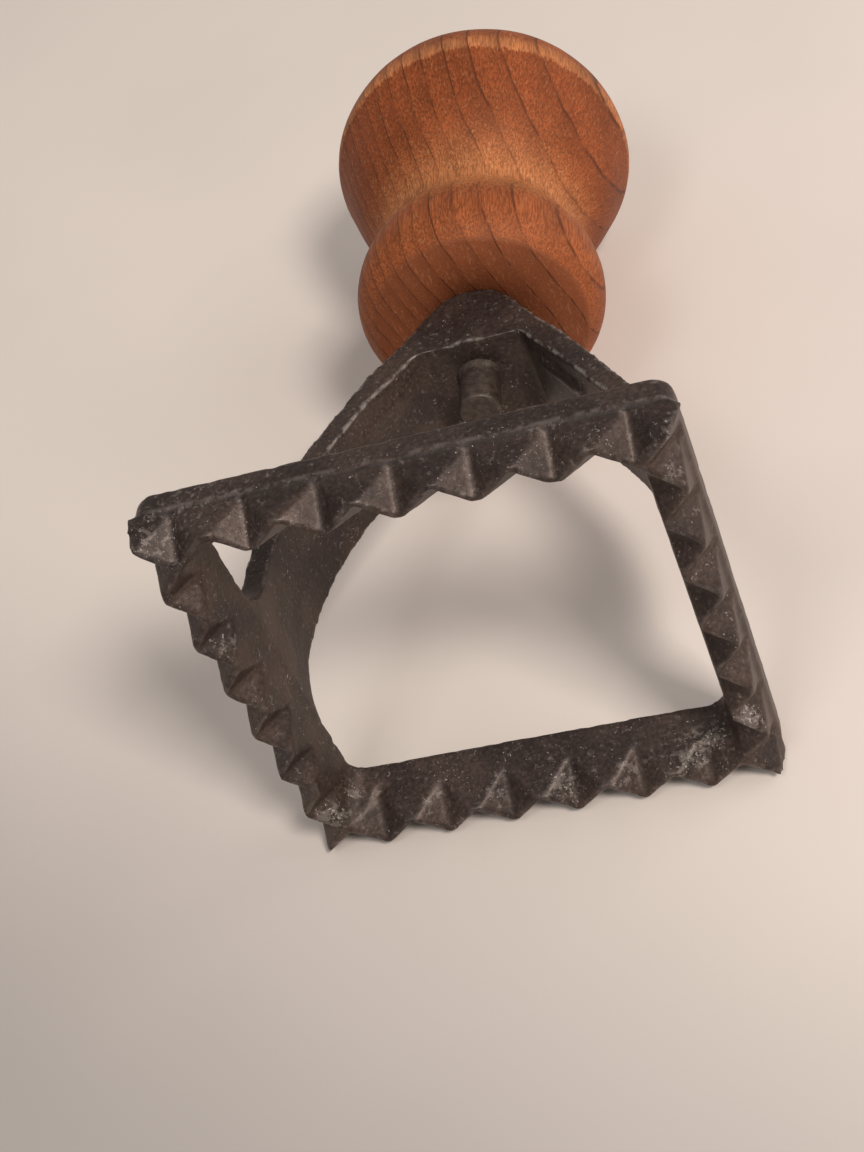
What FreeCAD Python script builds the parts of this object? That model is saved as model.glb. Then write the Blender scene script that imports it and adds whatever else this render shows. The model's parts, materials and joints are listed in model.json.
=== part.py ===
# Square fluted pasta and pastry stamp: a cast frame with a zigzag cutting edge and an arched yoke,
# a turned beech handle, and the steel stud that holds the two together.
#
# Everything is drawn in the tool's own axes, in millimetres: X to the right, Y along the handle with
# the cutting plane at Y = 0, and Z up. The last step lays the tool down on a table, on the two lower
# corner teeth and on the rim of the knob, with the table at Z = 0.
import FreeCAD, Part
import math
import os

V = FreeCAD.Vector
os.makedirs("parts", exist_ok=True)

# Cutting square
side = 65.0  # across the outer points of the zigzag
teeth = 7  # zigzag pitches on each side
tooth_depth = 4.0  # from the outer points to the inner points of the zigzag
tooth_height = 5.3  # from the cutting plane back to the band
tooth_draft = 0.15  # how far the outer wall leans out over that height
blunt = 0.35  # how much of the sharp edge is worn away
inner_groove_height = 5.05  # how far an inner groove runs up the inside wall, from the sharp edge
inner_groove_depth = 5.0  # how far it runs in over that height
horns = [(1.1, 1.1), (1.1, 1.1), (0.9, 0.9), (-0.2, 1.7)]  # flare of each corner tooth past its two sides
horn_half = 33.9  # the corner teeth are blunted by a rounded square of this half size
horn_corner_radius = 2.4

# Band behind the teeth
band_half = 33.2
band_thickness = 3.55
band_corner_radius = 2.4
band_edge_radius = 0.6
opening_front = 28.55  # half the opening at the cutting plane
opening_back_x = 26.9  # half the opening at the back of the band, from side to side
opening_back_z = 25.7  # and from top to bottom
opening_corner_radius = 2.8

# Yoke
crown_under = 55.8  # underside of the crown
crown_half_flat = 8.0
crown_corner_radii = (2.6, 0.8)  # left and right ends of the crown's underside
leg_angle = 33.0  # lean of the straight part of a leg from the handle's axis, in degrees
leg_bend_radius = 45.0
leg_thickness = 3.35
leg_half_width = 8.3
crown_half_width = 6.9  # the upper side of the strap narrows to this at the crown
foot_fillet = 6.3
seat_radius = 7.3  # round seat that the handle bears on
bead_radius = 1.9  # bead cast on the inner face of each leg
bead_offset = 3.7
bead_proud = (0.35, 0.9)  # left and right
bead_start = 44.0
bead_end = 51.0

# Handle
collar_face = 67.2  # where the handle bears on the seat
collar_face_radius = 15.9
handle_curve = [  # how far along the handle, and the radius there
    (69.6, 18.1),
    (74.0, 19.0),  # the widest of the collar
    (80.6, 17.2),
    (86.4, 14.65),  # the waist
    (91.5, 16.6),
    (96.5, 20.0),
    (101.5, 22.1),
]
arc_tolerance = 0.05  # the curve is made of tangent arcs that stay this close to it
flare_angle = 20.0  # slope of the flare where it meets the knob's rim, in degrees
lip_radius = 2.0
rim_radius = 24.1  # largest radius of the knob
rim_start = 107.4
rim_round = 14.0
rim_end_angle = 38.0
shoulder_round = 4.0
shoulder_end_angle = 83.0

# Stud
head_radius = 3.1
head_length = 7.5
shank_radius = 2.5
shank_clearance = 0.05
depth_in_handle = 30.0
end_gap = 1.0  # the bore runs on past the end of the shank

half = side / 2
pitch = side / teeth
inner_half = half - tooth_depth
sharp_plane = -blunt
band_back = tooth_height + band_thickness
lean_of_leg = math.radians(leg_angle)
groove_reach = 1.03  # depth of a groove's V, in tooth depths, so that neighbours just overlap
groove_neck = 0.6  # past the zigzag, how much of its width a groove keeps, and how far it runs on
overrun = 0.2  # how far a groove's run goes past both ends, as a share of the run
root = 0.5  # how deep the yoke's feet are set into the band
through = 1.0  # how far a cutting tool starts before the face that it cuts
bore_radius = shank_radius + shank_clearance


def polygon_face(points):
    return Part.Face(Part.makePolygon(points + points[:1]))


def face_of(edges):
    return Part.Face(Part.Wire(Part.__sortEdges__(edges)))


def largest_solid(shape):
    return max(shape.Solids, key=lambda solid: solid.Volume)


def frustum(half_front, half_back_x, half_back_z, y_front, y_back):
    """Four-sided block along Y whose front and back faces differ in size."""
    front = (-half_front, y_front, -half_front, -half_back_z, -half_back_x)
    back = (half_front, y_back, half_front, half_back_z, half_back_x)
    return Part.makeWedge(*front, *back)


def rounded_block(half_size, radius, y_front, y_back):
    """Square block along Y with rounded corners."""
    block = Part.makeBox(2 * half_size, y_back - y_front, 2 * half_size, V(-half_size, y_front, -half_size))
    corners = [edge for edge in block.Edges if edge.BoundBox.YLength > 1]
    return block.makeFillet(radius, corners)


def turned(shape, quarter):
    """Copy of a shape turned by quarter turns about the handle's axis."""
    copy = shape.copy()
    copy.rotate(V(0, 0, 0), V(0, 1, 0), 90 * quarter)
    return copy


def groove(tip_u, tip_v, outward, run_y, run_v):
    """V-groove of the lower side: its tip starts in the sharp plane at (tip_u, -tip_v) and runs back.

    It opens outwards when outward is 1 and inwards when it is -1. Past the zigzag it narrows again, so that
    it stays clear of the neighbouring side.
    """
    mouth = -tip_v - outward * tooth_depth * groove_reach
    clear = mouth - outward * tooth_depth * groove_neck
    width = pitch / 2 * groove_reach
    throat = width * groove_neck
    points = [
        V(tip_u, sharp_plane, -tip_v),
        V(tip_u - width, sharp_plane, mouth),
        V(tip_u - throat, sharp_plane, clear),
        V(tip_u + throat, sharp_plane, clear),
        V(tip_u + width, sharp_plane, mouth),
    ]
    run = V(0, run_y, -run_v)
    face = polygon_face(points)
    face.translate(run * -overrun)
    return face.extrude(run * (1 + 2 * overrun))


def corner_horn(flare_x, flare_z):
    """Corner tooth's crest, which flares out past the square towards the band."""
    tip = V(half, 0, -half)
    crest = V(half + flare_x, tooth_height, -(half + flare_z))
    right = V(half, tooth_height, -(half - pitch / 2))
    left = V(half - pitch / 2, tooth_height, -half)
    faces = [
        polygon_face([tip, crest, right]),
        polygon_face([tip, left, crest]),
        polygon_face([tip, right, left]),
        polygon_face([crest, left, right]),
    ]
    return Part.Solid(Part.Shell(faces))


def tooth_block():
    """Block in front of the band, with its outer zigzag and its four corner teeth."""
    wall_back = half + tooth_draft
    block = frustum(half, wall_back, wall_back, 0, tooth_height)
    block = block.multiFuse([turned(corner_horn(*flare), quarter) for quarter, flare in enumerate(horns)])
    block = block.common(rounded_block(horn_half, horn_corner_radius, -through, tooth_height))
    grooves = []
    for quarter in range(4):
        for j in range(teeth):
            tip_u = -half + pitch * (j + 0.5)
            outer = groove(tip_u, inner_half, 1, tooth_height - sharp_plane, tooth_depth)
            grooves.append(turned(outer, quarter))
    return block.cut(grooves)


def opening():
    """Hole through the square, with the inner side of the zigzag cut into its front."""
    hole = frustum(opening_front, opening_back_x, opening_back_z, 0, band_back)
    corners = [edge for edge in hole.Edges if edge.BoundBox.YLength > 1]
    hole = hole.makeFillet(opening_corner_radius, corners)
    grooves = []
    for quarter in range(4):
        for j in range(1, teeth):
            tip_u = -half + pitch * j
            inner = groove(tip_u, half, -1, inner_groove_height, -inner_groove_depth)
            grooves.append(turned(inner, quarter))
    return hole.multiFuse(grooves)


def band():
    """Smooth band behind the teeth, rounded on its outer back edge."""
    plate = rounded_block(band_half, band_corner_radius, tooth_height, band_back)
    back_edges = [edge for edge in plate.Edges if edge.BoundBox.YMin > band_back - 0.01]
    return plate.makeFillet(band_edge_radius, back_edges)


def cutting_square():
    return largest_solid(tooth_block().fuse(band()).cut(opening()))


def leg_curve(offset):
    """Start, middle and end of a leg's bend, then the top of the leg, offset from its inner face."""
    bend_x = opening_back_x - leg_bend_radius
    tangent_x = bend_x + leg_bend_radius * math.cos(lean_of_leg)
    tangent_y = crown_under - (tangent_x - crown_half_flat) / math.tan(lean_of_leg)
    bend_y = tangent_y - leg_bend_radius * math.sin(lean_of_leg)
    radius = leg_bend_radius + offset
    bend = [
        V(bend_x + radius * math.cos(angle), bend_y + radius * math.sin(angle), 0)
        for angle in (0, lean_of_leg / 2, lean_of_leg)
    ]
    top_x = crown_half_flat + offset * math.cos(lean_of_leg)
    top_y = crown_under + offset * math.sin(lean_of_leg)
    return bend + [V(top_x, top_y, 0)]


def yoke_face():
    """Side view of the yoke: two bent legs and the thick crown between them."""
    foot_y = band_back - root
    inner = leg_curve(0)
    outer = leg_curve(leg_thickness)
    rise = collar_face - outer[3].y
    outer[3] = V(outer[3].x - rise * math.tan(lean_of_leg), collar_face, 0)
    edges = []
    for sign in (-1, 1):
        feet = []
        for curve in (inner, outer):
            start, middle, end, top = [V(sign * point.x, point.y, 0) for point in curve]
            foot = V(start.x, foot_y, 0)
            edges.append(Part.makeLine(foot, start))
            edges.append(Part.Arc(start, middle, end).toShape())
            edges.append(Part.makeLine(end, top))
            feet.append(foot)
        edges.append(Part.makeLine(feet[0], feet[1]))
    for curve in (inner, outer):
        top = curve[3]
        edges.append(Part.makeLine(V(-top.x, top.y, 0), top))
    return face_of(edges)


def strap_outline():
    """Plan of the strap: straight below, and swelling above from the crown to the legs."""
    near = crown_half_flat
    far = 2 * crown_half_flat
    middle = (near + far) / 2
    edges = [
        Part.makeLine(V(-near, 0, crown_half_width), V(near, 0, crown_half_width)),
        Part.makeLine(V(-band_half, 0, -leg_half_width), V(band_half, 0, -leg_half_width)),
    ]
    for sign in (-1, 1):
        poles = [
            V(sign * near, 0, crown_half_width),
            V(sign * middle, 0, crown_half_width),
            V(sign * middle, 0, leg_half_width),
            V(sign * far, 0, leg_half_width),
        ]
        swell = Part.BezierCurve()
        swell.setPoles(poles)
        corner = V(sign * band_half, 0, leg_half_width)
        edges.append(swell.toShape())
        edges.append(Part.makeLine(poles[3], corner))
        edges.append(Part.makeLine(corner, V(corner.x, 0, -leg_half_width)))
    return face_of(edges).extrude(V(0, collar_face + through, 0))


def round_crown_corners(strap):
    """Round the two inside corners where the crown's underside meets the legs."""
    for sign, radius in zip((-1, 1), crown_corner_radii):
        corner = V(sign * crown_half_flat, crown_under, 0)
        edges = [edge for edge in strap.Edges if edge.distToShape(Part.Vertex(corner))[0] < 0.01]
        edges = [edge for edge in edges if edge.BoundBox.ZLength > crown_half_width]
        edges = [edge for edge in edges if edge.BoundBox.XLength < 0.01]
        strap = strap.makeFillet(radius, edges)
    return strap


def foot(sign):
    """Flared foot that stands a leg on the band."""
    base = band_back - root
    top = band_back + foot_fillet
    wide = leg_half_width + foot_fillet
    inset = foot_fillet * (1 - math.sqrt(0.5))
    x = opening_back_x
    edges = [
        Part.makeLine(V(x, base, -wide), V(x, base, wide)),
        Part.makeLine(V(x, top, -leg_half_width), V(x, top, leg_half_width)),
    ]
    for side_z in (-1, 1):
        low = V(x, band_back, side_z * wide)
        middle = V(x, band_back + inset, side_z * (leg_half_width + inset))
        high = V(x, top, side_z * leg_half_width)
        edges.append(Part.Arc(low, middle, high).toShape())
        edges.append(Part.makeLine(V(x, base, side_z * wide), low))
    solid = face_of(edges).extrude(V(leg_thickness, 0, 0))
    if sign < 0:
        solid = solid.mirror(V(0, 0, 0), V(1, 0, 0))
    return solid


def round_shoulders(strap):
    """Round the crown's outer corners to a cone that leans like the legs and ends at the seat."""
    base_radius = seat_radius + collar_face * math.tan(lean_of_leg)
    return strap.common(Part.makeCone(base_radius, seat_radius, collar_face, V(0, 0, 0), V(0, 1, 0)))


def bead(sign, proud):
    """Rounded bead cast along the inner face of a leg, near the crown."""
    along = V(-math.sin(lean_of_leg), math.cos(lean_of_leg), 0)
    inward = V(-math.cos(lean_of_leg), -math.sin(lean_of_leg), 0)
    corner = V(crown_half_flat, crown_under, bead_offset)
    start = corner + along * ((bead_start - crown_under) / along.y) + inward * (proud - bead_radius)
    end = corner + along * ((bead_end - crown_under) / along.y) + inward * (proud - bead_radius)
    length = end.distanceToPoint(start)
    solid = Part.makeCylinder(bead_radius, length, start, along)
    solid = solid.multiFuse([Part.makeSphere(bead_radius, start), Part.makeSphere(bead_radius, end)])
    if sign < 0:
        solid = solid.mirror(V(0, 0, 0), V(1, 0, 0))
    return solid


def yoke():
    face = yoke_face()
    face.translate(V(0, 0, -2 * leg_half_width))
    strap = face.extrude(V(0, 0, 4 * leg_half_width)).common(strap_outline())
    strap = round_shoulders(round_crown_corners(strap))
    seat = Part.makeCylinder(seat_radius, collar_face - crown_under, V(0, crown_under, 0), V(0, 1, 0))
    return strap.multiFuse([seat, foot(-1), foot(1), bead(-1, bead_proud[0]), bead(1, bead_proud[1])])


def cutter_frame():
    frame = cutting_square().fuse(yoke())
    length = collar_face - crown_under + 2 * through
    bore = Part.makeCylinder(bore_radius, length, V(0, crown_under - through, 0), V(0, 1, 0))
    return frame.cut(bore).removeSplitter()


def arc_point(centre, radius, degrees):
    angle = math.radians(degrees)
    return V(centre.x + radius * math.cos(angle), centre.y + radius * math.sin(angle), 0)


def arc(centre, radius, start, end):
    """Arc between two directions in degrees, where 0 points away from the handle's axis."""
    middle = (start + end) / 2
    return Part.Arc(*[arc_point(centre, radius, degrees) for degrees in (start, middle, end)]).toShape()


def handle():
    """Turned handle: collar, waist, flared knob with a rounded rim, and a domed end."""
    lip_centre = V(rim_radius - lip_radius, rim_start, 0)
    rim_centre = V(rim_radius - rim_round, rim_start, 0)
    shoulder_centre = arc_point(rim_centre, rim_round - shoulder_round, rim_end_angle)
    shoulder_end = arc_point(shoulder_centre, shoulder_round, shoulder_end_angle)
    dome_radius = shoulder_end.x / math.cos(math.radians(shoulder_end_angle))
    dome_centre = V(0, shoulder_end.y - dome_radius * math.sin(math.radians(shoulder_end_angle)), 0)
    end = V(0, dome_centre.y + dome_radius, 0)
    centre_of_face = V(0, collar_face, 0)
    face_edge = V(collar_face_radius, collar_face, 0)
    lip_start = arc_point(lip_centre, lip_radius, -flare_angle)
    curve = Part.BSplineCurve()
    curve.interpolate(
        Points=[face_edge] + [V(radius, y, 0) for y, radius in handle_curve] + [lip_start],
        InitialTangent=V(1, 0.7, 0),
        FinalTangent=V(math.tan(math.radians(flare_angle)), 1, 0),
    )
    edges = [Part.makeLine(centre_of_face, face_edge)]
    edges += [piece.toShape() for piece in curve.toBiArcs(arc_tolerance)]
    edges += [
        arc(lip_centre, lip_radius, -flare_angle, 0),
        arc(rim_centre, rim_round, 0, rim_end_angle),
        arc(shoulder_centre, shoulder_round, rim_end_angle, shoulder_end_angle),
        arc(dome_centre, dome_radius, shoulder_end_angle, 90),
        Part.makeLine(end, centre_of_face),
    ]
    solid = Part.Face(Part.Wire(edges)).revolve(V(0, 0, 0), V(0, 1, 0), 360)
    depth = depth_in_handle + end_gap + through
    bore = Part.makeCylinder(bore_radius, depth, V(0, collar_face - through, 0), V(0, 1, 0))
    return solid.cut(bore)


def handle_stud():
    """Stud with a round head under the crown and a shank up into the handle."""
    head = Part.makeCylinder(head_radius, head_length, V(0, crown_under - head_length, 0), V(0, 1, 0))
    length = collar_face - crown_under + depth_in_handle
    shank = Part.makeCylinder(shank_radius, length, V(0, crown_under, 0), V(0, 1, 0))
    return head.fuse(shank)


def lay_down(shapes):
    """Rest the tool on its two lower corner teeth and on the rim, and centre it over the origin."""
    tooth_z = shapes[0].optimalBoundingBox(False).ZMin
    along = rim_start - tooth_height
    up = rim_round - rim_radius - tooth_z
    lean = math.atan2(up, along) - math.asin(rim_round / math.hypot(along, up))
    laid = []
    for shape in shapes:
        copy = shape.copy()
        copy.rotate(V(0, 0, 0), V(1, 0, 0), -math.degrees(lean))
        laid.append(copy)
    box = Part.makeCompound(laid).optimalBoundingBox(False)
    shift = V(-(box.XMin + box.XMax) / 2, -(box.YMin + box.YMax) / 2, -box.ZMin)
    for copy in laid:
        copy.translate(shift)
    return laid


pieces = {"cutter_frame": cutter_frame(), "handle": handle(), "handle_stud": handle_stud()}
for name, solid in zip(pieces, lay_down(list(pieces.values()))):
    print(name, len(solid.Solids), "solid", round(solid.Volume), "cubic millimetres")
    solid.exportStep("parts/" + name + ".step")
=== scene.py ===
"""A square fluted ravioli stamp that lies on a pale table: cast frame, turned beech handle and steel stud.

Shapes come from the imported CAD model. The cast frame's mesh is remeshed, relaxed and roughened into a cast
skin. The handle is turned again from its CAD node's own profile, and the stud from its node's radii and ends,
with a low flange added. Lengths are in millimetres, in the tool's own axes, X across, Y along the handle from
the cutting edge and Z above, apart from the camera, the lights and the floor's size, which are in metres in
the row frame.
"""

import json
import math

import bmesh
import bpy
import numpy as np
from mathutils import Matrix, Vector, noise


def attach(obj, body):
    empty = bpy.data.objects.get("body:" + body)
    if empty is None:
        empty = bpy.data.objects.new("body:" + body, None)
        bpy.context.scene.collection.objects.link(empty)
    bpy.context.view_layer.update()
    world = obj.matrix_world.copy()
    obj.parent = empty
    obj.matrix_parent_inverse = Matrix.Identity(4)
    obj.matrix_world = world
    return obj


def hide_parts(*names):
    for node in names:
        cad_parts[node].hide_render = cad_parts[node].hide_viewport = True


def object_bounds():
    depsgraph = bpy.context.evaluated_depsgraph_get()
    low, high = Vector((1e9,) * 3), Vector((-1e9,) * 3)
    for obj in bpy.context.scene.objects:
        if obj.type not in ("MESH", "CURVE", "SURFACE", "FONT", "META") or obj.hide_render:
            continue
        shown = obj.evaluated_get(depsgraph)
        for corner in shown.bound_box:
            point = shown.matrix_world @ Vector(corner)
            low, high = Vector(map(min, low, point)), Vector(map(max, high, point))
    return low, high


mm = 0.001

# Camera
camera_place = Vector((0.0546, -0.1867, 0.2117))
camera_aim = Vector((-0.00735, -0.03824, 0.03))
camera_roll = math.radians(29.22)
camera_lens = 56.3
camera_sensor = 36
camera_clip = (0.01, 20)

# Cast frame
voxel = 0.40
weld_distance = voxel / 100
relax_rounds = 6
relax_share = 0.5
swell_share = -0.42  # each round of smoothing is followed by a round that gives most of the size back
broad_rounds = 10  # relaxing this much more shows where edges stand out and creases lie
edge_height = 0.14  # how far a fully worn edge stands out of the broadly relaxed shape
swell_height = 0.05  # unevenness of the casting, and its wavelength
swell_length = 5.0
grain_height = 0.014
grain_length = 1.1
nick_depth = 0.12
nick_length = 2.2
nick_shift = 40  # keeps the nicks from following the swell
nick_strength = 1.6
pit_spacing = 2.4
pit_radius = 0.40
pit_depth = 0.07
pit_variety = 3.7  # sets the random sizes of neighbouring pits apart
pit_share = 2.2  # a pit's radius is pit_radius times this times a random value, if that is above 0
blooms = [  # where pale oxide has bloomed: x, y, z, radius and strength
    (30.5, 0.8, -20.0, 2.2, 1.5),
    (24.5, 4.7, -27.4, 1.6, 1.1),
    (21.5, 2.5, -28.2, 2.6, 1.1),
    (12.8, 2.2, -28.6, 2.0, 1.0),
    (3.0, 2.2, -28.4, 2.0, 0.9),
    (-6.5, 2.2, -28.4, 1.8, 0.7),
    (-15.5, 2.2, -28.4, 1.8, 0.6),
    (-29.3, 0.9, -25.5, 2.2, 1.2),
    (-27.2, 5.3, -26.1, 1.5, 1.1),
    (32.0, 0.6, 31.0, 1.6, 0.9),
    (31.3, 0.9, 25.7, 1.5, 0.9),
    (-29.0, 2.1, 12.6, 1.7, 0.8),
    (-26.0, 7.0, 33.0, 6.0, 0.45),
    (-31.0, 2.0, 31.0, 2.5, 0.8),
]

# Handle and stud
handle_segments = 320
handle_step = 0.5
handle_softening = 4
profile_samples = 4000
smallest_radius = 1e-6  # a smaller radius is a point on the axis
handle_sight = 88.0  # all of the handle's outside is in sight of this station on its axis
bore_clearance = 0.05  # between the shank and the bore
bore_margin = 0.1  # points within this much of the bore's wall belong to the bore
bore_search = 0.3  # the bore's end is looked for this close to the shank's side
bore_reach = 5  # and at most this far past the shank's end
bore_end_margin = 1  # points further back than this past the bore's end belong to the outside
bore_step = 4
shank_sample = 1  # the shank's radius is read this close to its end
wood_swell_height = 0.05
wood_swell_length = 9.0
stud_segments = 72
stud_step = 0.35
stud_softening = 2
stud_flange = 0.45  # covers the rounded edge of the hole in the casting's skin
stud_flange_back = 1.0  # how far the flange goes into the crown
stud_flange_front = 0.3  # how far its edge stands out of the crown
stud_slope_end = 0.8  # how far out its slope meets the head
stud_swell_height = 0.03
stud_swell_length = 2.0
turned_inset = 0.02  # sets the uneven surface a little into the CAD shape

# Metal, as stations along the tool, heights above its axis and linear colours
handled = (14, 34)  # rubbed edges grow brighter between these stations
upper_side = (31, 32.5)
lip_rise, lip_fall = (5.2, 5.5), (5.6, 6.1)  # bright lip along the band's front edge
ledge_shadow_rise, ledge_shadow_fall = (4.7, 5.0), (5.1, 5.3)  # painted shadow: dark line in front of the lip
metal_dark = (0.031, 0.0205, 0.018, 1)
metal_brown = (0.053, 0.034, 0.0275, 1)
# painted highlight: creases are lightened where their rounded valleys would catch the light
crease_painted_highlight = (0.085, 0.062, 0.050, 1)
metal_rubbed = (0.215, 0.182, 0.165, 1)
ledge_painted_shadow = (0.012, 0.009, 0.008, 1)
metal_sheen = (1, 0.88, 0.80, 1)
oxide_film = (0.150, 0.122, 0.108, 1)
oxide_speck = (0.40, 0.36, 0.33, 1)
steel_dark = (0.046, 0.030, 0.024, 1)
steel_brown = (0.082, 0.056, 0.044, 1)
steel_speck = (0.34, 0.31, 0.285, 1)

# Wood, as stations along the tool and linear colours
ring_normal = (0.967, 0.095, 0.236)  # growth rings lie across this direction
ring_start = 8.0  # rings are ring_spacing apart here, and twice that ring_growth further on
ring_spacing = 2.9
ring_growth = 36.0
face_edge = (67.75, 68.05)
waist_rise, waist_fall = (75, 82), (87, 96)
flare_rise, flare_fall = (87, 100), (105.9, 106.6)
rim_rise, rim_fall = (106.0, 106.8), (107.5, 111)
fringe_reach = 2.6  # how raggedly the flare's painted shade ends and the rim's painted light starts
wood_plain = (0.265, 0.069, 0.022, 1)
# painted light at the waist and on the rim, painted shade on the flare
waist_painted_light = (0.385, 0.136, 0.050, 1)
flare_painted_shade = (0.215, 0.050, 0.015, 1)
rim_painted_light = (0.40, 0.140, 0.052, 1)
wood_torn = (0.56, 0.245, 0.105, 1)
wood_face = (0.185, 0.052, 0.021, 1)
wood_hair = (0.36, 0.150, 0.075, 1)
wood_late = (0.10, 0.026, 0.010, 1)
wood_slit = (0.070, 0.018, 0.008, 1)
wood_sheen = (1, 0.80, 0.62, 1)

# Floor and light
floor_half = 2.5
floor_cells = 8
floor_pale = (0.70, 0.605, 0.545, 1)
floor_paler = (0.73, 0.630, 0.565, 1)
floor_roughness = 0.6
shade_direction = (-0.50, -0.866)  # the floor darkens this way, where the viewer's shadow falls
shade_rise, shade_fall = (-30, 78), (120, 420)
shade_tint = (0.54, 0.55, 0.565, 1)
lamp_aim = (0, 0, 0.02)
lamps = [  # name, place, size, watts and colour
    ("right_lamp", (0.54, -0.50, 0.95), 0.25, 10.0, (1.0, 0.955, 0.90)),
    ("left_lamp", (-0.20, -0.52, 1.05), 0.30, 2.2, (0.95, 0.98, 1.0)),
    ("window", (0.85, 0.15, 0.45), 0.70, 2.6, (1.0, 0.97, 0.95)),
]
room_colour = (1.0, 0.985, 0.965, 1)
room_strength = 0.33


# Frame and tool axes

def node_points(node):
    """A CAD node's points in the row frame, in metres, as rows."""
    vertices = frame["nodes"][node].data.vertices
    flat = np.zeros(3 * len(vertices))
    vertices.foreach_get("co", flat)
    return flat.reshape(-1, 3)


def tool_axes():
    """Matrix from the tool's own axes, in millimetres, to the row frame, in metres."""
    mounts = {mount["name"]: mount for mount in frame["record"]["mounts"]}
    along = np.array(mounts["band_back"]["axis"])
    along = along / np.linalg.norm(along)
    across = np.array((1.0, 0.0, 0.0))
    above = np.cross(across, along)
    axes = np.stack((across, along, above), axis=1)
    stud = node_points("handle_stud") @ axes
    centre = (stud.min(0) + stud.max(0)) / 2
    centre[1] = np.array(mounts["cutting_edge"]["pos_m"]) @ along
    matrix = Matrix(axes.tolist()).to_4x4() @ Matrix.Scale(mm, 4)
    matrix.translation = Vector(axes @ centre)
    return matrix


def to_tool(points):
    """Points from the row frame, in metres, to the tool's axes, in millimetres."""
    matrix = np.array(tool.inverted())
    return points @ matrix[:3, :3].T + matrix[:3, 3]


def to_row(points):
    """Points from the tool's axes, in millimetres, to the row frame, in metres."""
    matrix = np.array(tool)
    return points @ matrix[:3, :3].T + matrix[:3, 3]


def add_piece(name, mesh, node, material):
    """Shows a mesh in place of a CAD node."""
    piece = bpy.data.objects.new(name, mesh)
    bpy.context.scene.collection.objects.link(piece)
    mesh.materials.clear()
    mesh.materials.append(material)
    mesh.shade_smooth()
    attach(piece, "root")
    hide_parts(node)


# Cast frame

def remeshed(node):
    """A CAD node's mesh as an even skin of small quads."""
    mesh = frame["nodes"][node].data.copy()
    welded = bmesh.new()
    welded.from_mesh(mesh)
    bmesh.ops.remove_doubles(welded, verts=welded.verts, dist=weld_distance * mm)
    welded.to_mesh(mesh)
    welded.free()
    draft = bpy.data.objects.new("draft", mesh)
    bpy.context.scene.collection.objects.link(draft)
    remesh = draft.modifiers.new("remesh", "REMESH")
    remesh.mode = "VOXEL"
    remesh.voxel_size = voxel * mm
    graph = bpy.context.evaluated_depsgraph_get()
    result = bpy.data.meshes.new_from_object(draft.evaluated_get(graph))
    bpy.data.objects.remove(draft)
    return result


def mesh_edges(mesh):
    flat = np.zeros(2 * len(mesh.edges), np.int64)
    mesh.edges.foreach_get("vertices", flat)
    return flat.reshape(-1, 2)


def mesh_points(mesh):
    flat = np.zeros(3 * len(mesh.vertices))
    mesh.vertices.foreach_get("co", flat)
    return flat.reshape(-1, 3)


def mesh_normals(mesh):
    flat = np.zeros(3 * len(mesh.vertices), np.float32)
    mesh.vertex_normals.foreach_get("vector", flat)
    return flat.reshape(-1, 3).astype(float)


def relaxed(values, edges, shares):
    """Values at the points, drawn by each share in turn towards the mean of their neighbours' values."""
    first, second = edges[:, 0], edges[:, 1]
    size = len(values)
    count = np.bincount(edges.ravel(), minlength=size)
    for share in shares:
        columns = []
        for column in values.T:
            near = np.bincount(first, column[second], size) + np.bincount(second, column[first], size)
            columns.append(column + share * (near / count - column))
        values = np.stack(columns, axis=1)
    return values


def fractal(points, length, octaves=3):
    """Smooth random value of about -1 to 1 at each point, for features of that length in millimetres."""
    return np.array([noise.fractal(Vector(point) / length, 1.0, 2.0, octaves) for point in points])


def pits(points):
    """Depth, from 0 to 1, of small round pits that are scattered over the surface."""
    depth = np.zeros(len(points))
    for i, point in enumerate(points):
        place = Vector(point) / pit_spacing
        distances, centres = noise.voronoi(place)
        radius = pit_radius / pit_spacing * max(0.0, noise.noise(centres[0] * pit_variety) * pit_share)
        if radius > 0:
            depth[i] = max(0.0, 1 - (distances[0] / radius) ** 2)
    return depth


def bloom(points):
    """How strongly pale oxide has bloomed at each point."""
    strength = np.zeros(len(points))
    for x, y, z, radius, most in blooms:
        away = np.linalg.norm(points - (x, y, z), axis=1)
        strength += most * np.exp(-((away / radius) ** 2))
    return strength


def cast_skin(node):
    """A casting's skin, with its edges rounded, worn and nicked.

    Its points carry how worn they are, how deep in a crevice, and how much pale oxide they have.
    """
    mesh = remeshed(node)
    edges = mesh_edges(mesh)
    points = relaxed(to_tool(mesh_points(mesh)), edges, [relax_share, swell_share] * relax_rounds)
    mesh.vertices.foreach_set("co", to_row(points).ravel())
    mesh.update()
    normals = mesh_normals(mesh) @ np.array(tool.to_3x3().normalized())
    broad = relaxed(points, edges, [relax_share] * broad_rounds)
    lift = ((points - broad) * normals).sum(1) / edge_height
    wear = np.clip(lift, 0, 1)
    crevice = np.clip(-lift, 0, 1)
    swell = swell_height * fractal(points, swell_length, 2)
    height = swell + grain_height * fractal(points, grain_length, 3)
    nicks = np.clip(fractal(points + nick_shift, nick_length, 2) * nick_strength, 0, 1)
    height -= nick_depth * nicks * wear
    height -= pit_depth * pits(points) * (1 - wear)
    points = points + normals * height[:, None]
    low, high = [np.array(corner) for corner in cad_box]
    mesh.vertices.foreach_set("co", np.clip(to_row(points), low, high).ravel())
    marks = {"wear": wear, "crevice": crevice, "bloom": bloom(points)}
    for name, values in marks.items():
        attribute = mesh.attributes.new(name, "FLOAT", "POINT")
        attribute.data.foreach_set("value", values.astype(np.float32))
    mesh.update()
    return mesh


# Turned pieces

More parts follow.
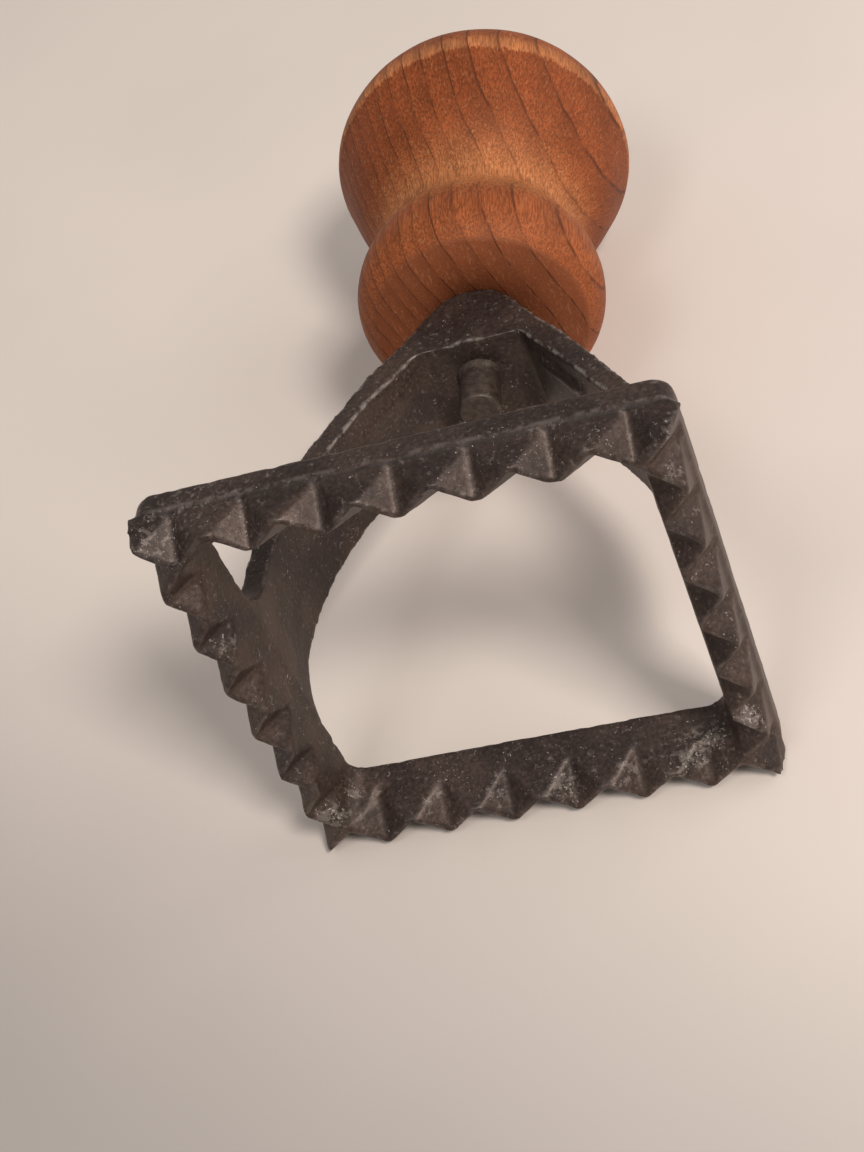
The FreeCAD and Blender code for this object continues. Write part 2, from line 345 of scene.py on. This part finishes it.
def node_profile(node, centre, bore, bore_end):
    """A turned node's outer profile, as points (radius, station) in order, seen from the centre."""
    points = to_tool(node_points(node))
    radius = np.hypot(points[:, 0], points[:, 2])
    station = points[:, 1]
    outer = (radius > bore) | (station > bore_end)
    radius, station = radius[outer], station[outer]
    angle = np.arctan2(radius, station - centre)
    reach = np.hypot(radius, station - centre)
    order = np.argsort(angle)
    angle, reach = angle[order], reach[order]
    fine = np.linspace(angle[0], angle[-1], profile_samples)
    reach = np.interp(fine, angle, reach)
    return np.stack((reach * np.sin(fine), centre + reach * np.cos(fine)), axis=1)


def evenly(profile, step):
    """The same profile as points that are a step apart along it."""
    gaps = np.hypot(*np.diff(profile, axis=0).T)
    length = np.concatenate(([0], np.cumsum(gaps)))
    count = max(2, round(length[-1] / step))
    at = np.linspace(0, length[-1], count + 1)
    return np.stack([np.interp(at, length, column) for column in profile.T], axis=1)


def softened(profile, rounds):
    """The same profile with its corners rounded and its ends held."""
    for _ in range(rounds):
        middle = (profile[:-2] + 2 * profile[1:-1] + profile[2:]) / 4
        profile = np.concatenate((profile[:1], middle, profile[-1:]))
    return profile


def turned(name, profile, segments):
    """Closed mesh, in the tool's axes, of a profile whose two ends lie on the axis."""
    mesh = bpy.data.meshes.new(name)
    made = bmesh.new()
    rings = []
    for radius, station in profile:
        if radius < smallest_radius:
            rings.append([made.verts.new((0, station, 0))])
            continue
        turns = [2 * math.pi * k / segments for k in range(segments)]
        rings.append([made.verts.new((radius * math.cos(a), station, radius * math.sin(a))) for a in turns])
    for near, far in zip(rings, rings[1:]):
        for k in range(segments):
            after = k + 1
            corners = [near[k % len(near)], near[after % len(near)], far[after % len(far)], far[k % len(far)]]
            made.faces.new(dict.fromkeys(corners))
    bmesh.ops.recalc_face_normals(made, faces=made.faces)
    made.to_mesh(mesh)
    made.free()
    return mesh


def placed(mesh, height, length):
    """Moves a turned mesh from the tool's axes to the row frame, a little uneven and inside the CAD box."""
    mesh.update()
    points = mesh_points(mesh)
    lift = height * fractal(points, length, 2) - turned_inset
    points = points + mesh_normals(mesh) * lift[:, None]
    low, high = [np.array(corner) for corner in cad_box]
    mesh.vertices.foreach_set("co", np.clip(to_row(points), low, high).ravel())
    mesh.update()
    return mesh


def handle_mesh():
    """The handle: its outer profile with softened corners, then its blind bore."""
    stud = to_tool(node_points("handle_stud"))
    stud_back = stud[:, 1].max()
    shank = np.hypot(stud[:, 0], stud[:, 2])[stud[:, 1] > stud_back - shank_sample].max()
    bore = shank + bore_clearance
    points = to_tool(node_points("handle"))
    near_axis = np.hypot(points[:, 0], points[:, 2]) < shank + bore_search
    bore_end = points[near_axis & (points[:, 1] < stud_back + bore_reach)][:, 1].max()
    face = points[:, 1].min()
    profile = node_profile("handle", handle_sight, bore + bore_margin, bore_end + bore_end_margin)
    profile = softened(evenly(profile, handle_step), handle_softening)
    profile[0, 0] = 0
    inner = np.array([(bore, face), (bore, bore_end), (0, bore_end)], float)
    profile = np.concatenate((profile, evenly(inner, bore_step)))
    mesh = turned("handle", profile, handle_segments)
    return placed(mesh, wood_swell_height, wood_swell_length)


def stud_mesh():
    """The stud: its head, a low flange under the crown, and its shank."""
    stud = to_tool(node_points("handle_stud"))
    radius = np.hypot(stud[:, 0], stud[:, 2])
    front, back = stud[:, 1].min(), stud[:, 1].max()
    head = radius.max()
    shank = radius[stud[:, 1] > back - shank_sample].max()
    shoulder = stud[radius > (head + shank) / 2][:, 1].max()
    flange = head + stud_flange
    outline = [
        (0, back),
        (shank, back),
        (shank, shoulder + stud_flange_back),
        (flange, shoulder + stud_flange_back),
        (flange, shoulder - stud_flange_front),
        (head, shoulder - stud_slope_end),
        (head, front),
        (0, front),
    ]
    profile = softened(evenly(np.array(outline, float), stud_step), stud_softening)
    mesh = turned("stud", profile, stud_segments)
    return placed(mesh, stud_swell_height, stud_swell_length)


# Materials

class Material:
    """One material's node tree, with short calls that add a node and return its result."""

    def __init__(self, name):
        self.material = bpy.data.materials.new(name)
        self.material.use_nodes = True
        self.nodes = self.material.node_tree.nodes
        self.shader = self.nodes["Principled BSDF"]

    def feed(self, socket, value):
        if isinstance(value, bpy.types.NodeSocket):
            self.material.node_tree.links.new(value, socket)
        else:
            socket.default_value = value

    def math(self, operation, *values):
        node = self.nodes.new("ShaderNodeMath")
        node.operation = operation
        for socket, value in zip(node.inputs, values):
            self.feed(socket, value)
        return node.outputs[0]

    def times(self, first, second):
        return self.math("MULTIPLY", first, second)

    def sum(self, *values):
        result = values[0]
        for value in values[1:]:
            result = self.math("ADD", result, value)
        return result

    def less(self, value, amount):
        return self.math("SUBTRACT", value, amount)

    def tinted(self, colour, tint):
        return self.mix(1, colour, tint, "MULTIPLY")

    def varied(self, colour, share, darkest, lightest):
        """The same colour, from darkest to lightest times as bright."""
        dark = self.tinted(colour, (darkest, darkest, darkest, 1))
        light = self.tinted(colour, (lightest, lightest, lightest, 1))
        return self.mix(share, dark, light)

    def smooth(self, value, low, high):
        """0 below low and 1 above high, with a smooth step between them."""
        node = self.nodes.new("ShaderNodeMapRange")
        node.interpolation_type = "SMOOTHSTEP"
        self.feed(node.inputs["Value"], value)
        node.inputs["From Min"].default_value = low
        node.inputs["From Max"].default_value = high
        return node.outputs["Result"]

    def zone(self, value, rise, fall):
        """1 between two smooth steps, one up over rise and one down over fall."""
        return self.times(self.smooth(value, *rise), self.less(1, self.smooth(value, *fall)))

    def between(self, value, low, high):
        """Value from 0..1 to low..high."""
        node = self.nodes.new("ShaderNodeMapRange")
        self.feed(node.inputs["Value"], value)
        node.inputs["To Min"].default_value = low
        node.inputs["To Max"].default_value = high
        return node.outputs["Result"]

    def mix(self, share, first, second, blend="MIX"):
        node = self.nodes.new("ShaderNodeMix")
        node.data_type = "RGBA"
        node.blend_type = blend
        self.feed(node.inputs["Factor"], share)
        self.feed(node.inputs[6], first)
        self.feed(node.inputs[7], second)
        return node.outputs[2]

    def stretched(self, vector, factors, shift=(0, 0, 0), turn=(0, 0, 0)):
        node = self.nodes.new("ShaderNodeMapping")
        self.feed(node.inputs["Vector"], vector)
        node.inputs["Scale"].default_value = factors
        node.inputs["Location"].default_value = shift
        node.inputs["Rotation"].default_value = turn
        return node.outputs["Vector"]

    def tool_place(self):
        """The point's place in the tool's axes, in millimetres."""
        coordinates = self.nodes.new("ShaderNodeTexCoord")
        inverse = tool.inverted()
        turn = inverse.to_3x3().normalized().to_euler()
        scale = inverse.to_scale()
        return self.stretched(coordinates.outputs["Object"], scale, inverse.translation, turn)

    def parts(self, vector):
        node = self.nodes.new("ShaderNodeSeparateXYZ")
        self.feed(node.inputs[0], vector)
        return node.outputs

    def noise(self, vector, length, detail=3, roughness=0.5, distortion=0):
        """Noise of about 0.3 to 0.7 with features of that length in millimetres."""
        node = self.nodes.new("ShaderNodeTexNoise")
        self.feed(node.inputs["Vector"], vector)
        node.inputs["Scale"].default_value = 1 / length
        node.inputs["Detail"].default_value = detail
        node.inputs["Roughness"].default_value = roughness
        node.inputs["Distortion"].default_value = distortion
        return node.outputs["Fac"]

    def constant(self, socket, value):
        self.shader.inputs[socket].default_value = value

    def attribute(self, name):
        node = self.nodes.new("ShaderNodeAttribute")
        node.attribute_name = name
        return node.outputs["Fac"]

    def bump(self, height, depth):
        """Bump from a height of 0..1 that stands for that many millimetres."""
        node = self.nodes.new("ShaderNodeBump")
        node.inputs["Distance"].default_value = depth * mm
        self.feed(node.inputs["Height"], height)
        self.feed(self.shader.inputs["Normal"], node.outputs["Normal"])

    def finish(self, colour, roughness):
        self.feed(self.shader.inputs["Base Color"], colour)
        self.feed(self.shader.inputs["Roughness"], roughness)
        return self.material


def cast_metal():
    """Dull cast metal: dark grey-brown, mottled, a little brighter where it is worn, with pale oxide, a
    painted highlight in the creases and a painted shadow line in front of the band's lip.
    """
    make = Material("cast_metal")
    place = make.tool_place()
    along, above = make.parts(place)[1:]
    patches = make.smooth(make.noise(place, 8, 3), 0.38, 0.62)
    mottle = make.noise(place, 0.55, 5, 0.6)
    colour = make.mix(patches, metal_dark, metal_brown)
    colour = make.varied(colour, make.smooth(mottle, 0.32, 0.68), 0.70, 1.38)
    # Painted highlight in the creases
    colour = make.mix(make.times(make.attribute("crevice"), 0.15), colour, crease_painted_highlight)
    # Rubbed edges, which are brightest on the yoke, the lip along the upper side of the band, and a painted
    # shadow line in front of the lip
    rubbed = make.smooth(make.noise(place, 1.6, 3, 0.6), 0.42, 0.60)
    wear = make.times(make.smooth(make.attribute("wear"), 0.66, 1.10), rubbed)
    brightness = make.between(make.smooth(along, *handled), 0.22, 0.9)
    colour = make.mix(make.times(wear, brightness), colour, metal_rubbed)
    upper = make.smooth(above, *upper_side)
    lip = make.times(make.times(make.zone(along, lip_rise, lip_fall), upper), rubbed)
    colour = make.mix(make.times(lip, 0.28), colour, metal_rubbed)
    # Painted shadow on the ledge in front of the lip
    ledge_shadow = make.times(make.zone(along, ledge_shadow_rise, ledge_shadow_fall), upper)
    colour = make.mix(make.times(ledge_shadow, 0.6), colour, ledge_painted_shadow)
    # Pale oxide: a thin film in blots, and small specks in clusters
    bloomed = make.attribute("bloom")
    blots = make.noise(place, 1.1, 4, 0.7)
    film = make.smooth(make.sum(blots, make.times(bloomed, 0.16)), 0.585, 0.71)
    colour = make.mix(make.times(film, 0.75), colour, oxide_film)
    grit = make.noise(place, 0.42, 3, 0.65)
    clusters = make.times(make.smooth(make.noise(place, 6, 2), 0.40, 0.70), 0.07)
    limit = make.less(make.less(0.685, clusters), make.times(bloomed, 0.07))
    specks = make.smooth(make.less(grit, limit), 0, 0.06)
    pale = make.times(specks, 0.75)
    colour = make.mix(pale, colour, oxide_speck)
    roughness = make.sum(make.between(mottle, 0.32, 0.52), make.times(pale, 0.2), make.times(wear, -0.1))
    make.constant("Metallic", 0.25)
    make.constant("Specular IOR Level", 0.4)
    make.constant("Specular Tint", metal_sheen)
    make.bump(make.sum(make.times(mottle, 0.6), make.times(specks, 0.15)), 0.10)
    return make.finish(colour, roughness)


def stud_steel():
    """Turned steel that has dulled to the casting's brown: turning rings and pale specks."""
    make = Material("stud_steel")
    place = make.tool_place()
    rings = make.noise(make.stretched(place, (0.3, 7, 0.3)), 1, 2)
    film = make.noise(place, 1.1, 4)
    colour = make.mix(make.smooth(film, 0.35, 0.65), steel_dark, steel_brown)
    specks = make.smooth(make.noise(place, 0.35, 3, 0.65), 0.64, 0.70)
    colour = make.mix(make.times(specks, 0.6), colour, steel_speck)
    make.constant("Metallic", 0.3)
    make.bump(make.sum(make.times(rings, 0.4), film), 0.05)
    return make.finish(colour, make.between(film, 0.38, 0.52))


def growth(make, place, wobble):
    """How far through a year's ring each point is, from 0 in early wood to 1 in late wood."""
    across = [make.times(part, share) for part, share in zip(make.parts(place), ring_normal)]
    drift = make.noise(make.stretched(place, (1, 0.3, 1)), 12, 2)
    deep = make.sum(*across, -ring_start)
    deep = make.sum(deep, make.times(drift, 2.4), make.times(wobble, 0.25))
    growing = make.math("LOGARITHM", make.sum(1, make.times(deep, 1 / ring_growth)), math.e)
    return make.math("FRACT", make.times(growing, ring_growth / ring_spacing))


def beech():
    """Old varnished beech, turned: growth rings, fibres and dark end grain, with painted light at the waist
    and on the rim and painted shade on the flare.
    """
    make = Material("beech")
    place = make.tool_place()
    station = make.parts(place)[1]
    wobble = make.noise(make.stretched(place, (1, 0.25, 1)), 1.3, 2)
    waist = make.zone(station, waist_rise, waist_fall)
    # Each ring darkens slowly and ends in a thin dark slit. Both are faint at the waist
    late = growth(make, place, wobble)
    strength = make.smooth(make.noise(make.stretched(place, (1, 0.25, 1)), 3.0, 3), 0.32, 0.60)
    faded = make.less(1, make.times(waist, 0.65))
    slit = make.times(make.times(make.zone(late, (0.88, 0.95), (0.96, 1)), strength), faded)
    shade = make.times(make.zone(late, (0.30, 0.92), (0.94, 1)), faded)
    # Painted light and shade along the handle: lighter at the waist, darker on the flare, lighter on the rim
    fringe = make.times(make.noise(make.stretched(place, (1, 0.10, 1)), 0.5, 3, 0.6), fringe_reach)
    ragged = make.sum(station, fringe, -fringe_reach / 2)
    colour = make.mix(waist, wood_plain, waist_painted_light)
    colour = make.mix(make.zone(ragged, flare_rise, flare_fall), colour, flare_painted_shade)
    rim = make.times(make.smooth(ragged, *rim_rise), make.less(1, make.smooth(station, *rim_fall)))
    colour = make.mix(rim, colour, rim_painted_light)
    # Blotches, fibres, dark pores and pale torn fibres
    blotch = make.noise(make.stretched(place, (1, 0.5, 1)), 7, 3)
    colour = make.varied(colour, make.smooth(blotch, 0.3, 0.7), 0.84, 1.16)
    fibre = make.noise(make.stretched(place, (1, 0.07, 1), turn=(0.05, 0, 0.08)), 0.24, 2, 0.55)
    colour = make.varied(colour, make.smooth(fibre, 0.36, 0.64), 0.72, 1.26)
    pores = make.noise(make.stretched(place, (1, 0.12, 1), shift=(7, 3, 5)), 0.22, 2, 0.6)
    pore = make.smooth(pores, 0.60, 0.68)
    colour = make.mix(make.times(pore, 0.45), colour, make.tinted(colour, (0.45, 0.45, 0.45, 1)))
    torn = make.smooth(make.noise(make.stretched(place, (1, 0.17, 1)), 0.36, 2, 0.6, 0.5), 0.56, 0.66)
    colour = make.mix(make.times(torn, make.between(waist, 0.22, 0.65)), colour, wood_torn)
    # Dark end grain on the front face, with fine pale scratches
    front = make.less(1, make.smooth(make.sum(station, make.times(wobble, 0.4)), *face_edge))
    colour = make.mix(make.times(front, 0.75), colour, wood_face)
    hairs = make.noise(make.stretched(place, (1, 1, 0.3), turn=(0, 0.6, 0)), 0.5, 3, 0.7, 1.6)
    hair = make.times(make.smooth(hairs, 0.56, 0.63), front)
    colour = make.mix(make.times(hair, 0.45), colour, wood_hair)
    colour = make.mix(make.times(shade, 0.28), colour, wood_late)
    colour = make.mix(make.times(slit, 0.80), colour, wood_slit)
    make.constant("Specular IOR Level", 0.22)
    make.constant("Specular Tint", wood_sheen)
    make.bump(make.sum(make.times(fibre, 0.6), make.times(slit, -0.7), make.times(torn, 0.3)), 0.08)
    return make.finish(colour, make.between(fibre, 0.48, 0.66))


def table_top():
    """Plain pale table, with a painted soft shadow that makes it darker in front at the left."""
    make = Material("table_top")
    place = make.tool_place()
    tone = make.smooth(make.noise(place, 60, 2), 0.3, 0.7)
    colour = make.mix(tone, floor_pale, floor_paler)
    near = make.sum(*[make.times(part, share) for part, share in zip(make.parts(place), shade_direction)])
    # Painted shadow, darker towards the front left
    shadow = make.zone(near, shade_rise, shade_fall)
    colour = make.mix(shadow, colour, make.tinted(colour, shade_tint))
    return make.finish(colour, floor_roughness)


# Stage

def add_floor():
    mesh = bpy.data.meshes.new("floor")
    made = bmesh.new()
    bmesh.ops.create_grid(made, x_segments=floor_cells, y_segments=floor_cells, size=floor_half)
    made.to_mesh(mesh)
    made.free()
    mesh.materials.append(table_top())
    floor = bpy.data.objects.new("floor", mesh)
    bpy.context.scene.collection.objects.link(floor)


def add_light(name, place, size, watts, colour):
    """Square lamp that points at the tool."""
    data = bpy.data.lights.new(name, "AREA")
    data.size = size
    data.energy = watts
    data.color = colour
    light = bpy.data.objects.new(name, data)
    light.location = place
    light.rotation_euler = (Vector(lamp_aim) - Vector(place)).to_track_quat("-Z", "Y").to_euler()
    bpy.context.scene.collection.objects.link(light)


def add_lights():
    for lamp in lamps:
        add_light(*lamp)
    world = bpy.data.worlds.new("room")
    world.use_nodes = True
    background = world.node_tree.nodes["Background"]
    background.inputs["Color"].default_value = room_colour
    background.inputs["Strength"].default_value = room_strength
    bpy.context.scene.world = world


def add_camera():
    data = bpy.data.cameras.new("camera")
    data.sensor_fit = "VERTICAL"
    data.sensor_height = camera_sensor
    data.sensor_width = camera_sensor
    data.lens = camera_lens
    camera = bpy.data.objects.new("camera", data)
    bpy.context.scene.collection.objects.link(camera)
    level = (camera_aim - camera_place).to_track_quat("-Z", "Y").to_matrix()
    roll = Matrix.Rotation(-camera_roll, 3, "Z")
    camera.matrix_world = Matrix.Translation(camera_place) @ (level @ roll).to_4x4()
    data.clip_start, data.clip_end = camera_clip
    bpy.context.scene.camera = camera


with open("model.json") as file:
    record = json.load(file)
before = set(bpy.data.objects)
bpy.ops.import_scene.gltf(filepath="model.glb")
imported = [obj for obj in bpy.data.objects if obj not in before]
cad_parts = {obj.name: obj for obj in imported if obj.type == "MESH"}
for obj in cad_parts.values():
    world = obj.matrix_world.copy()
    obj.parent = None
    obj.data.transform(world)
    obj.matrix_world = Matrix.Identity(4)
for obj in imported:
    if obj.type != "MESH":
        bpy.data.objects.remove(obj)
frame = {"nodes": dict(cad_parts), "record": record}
cad_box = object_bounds()
tool = tool_axes()
add_piece("casting", cast_skin("cutter_frame"), "cutter_frame", cast_metal())
add_piece("knob", handle_mesh(), "handle", beech())
add_piece("stud", stud_mesh(), "handle_stud", stud_steel())
add_floor()
add_lights()
add_camera()
bpy.context.scene.view_settings.view_transform = "Standard"
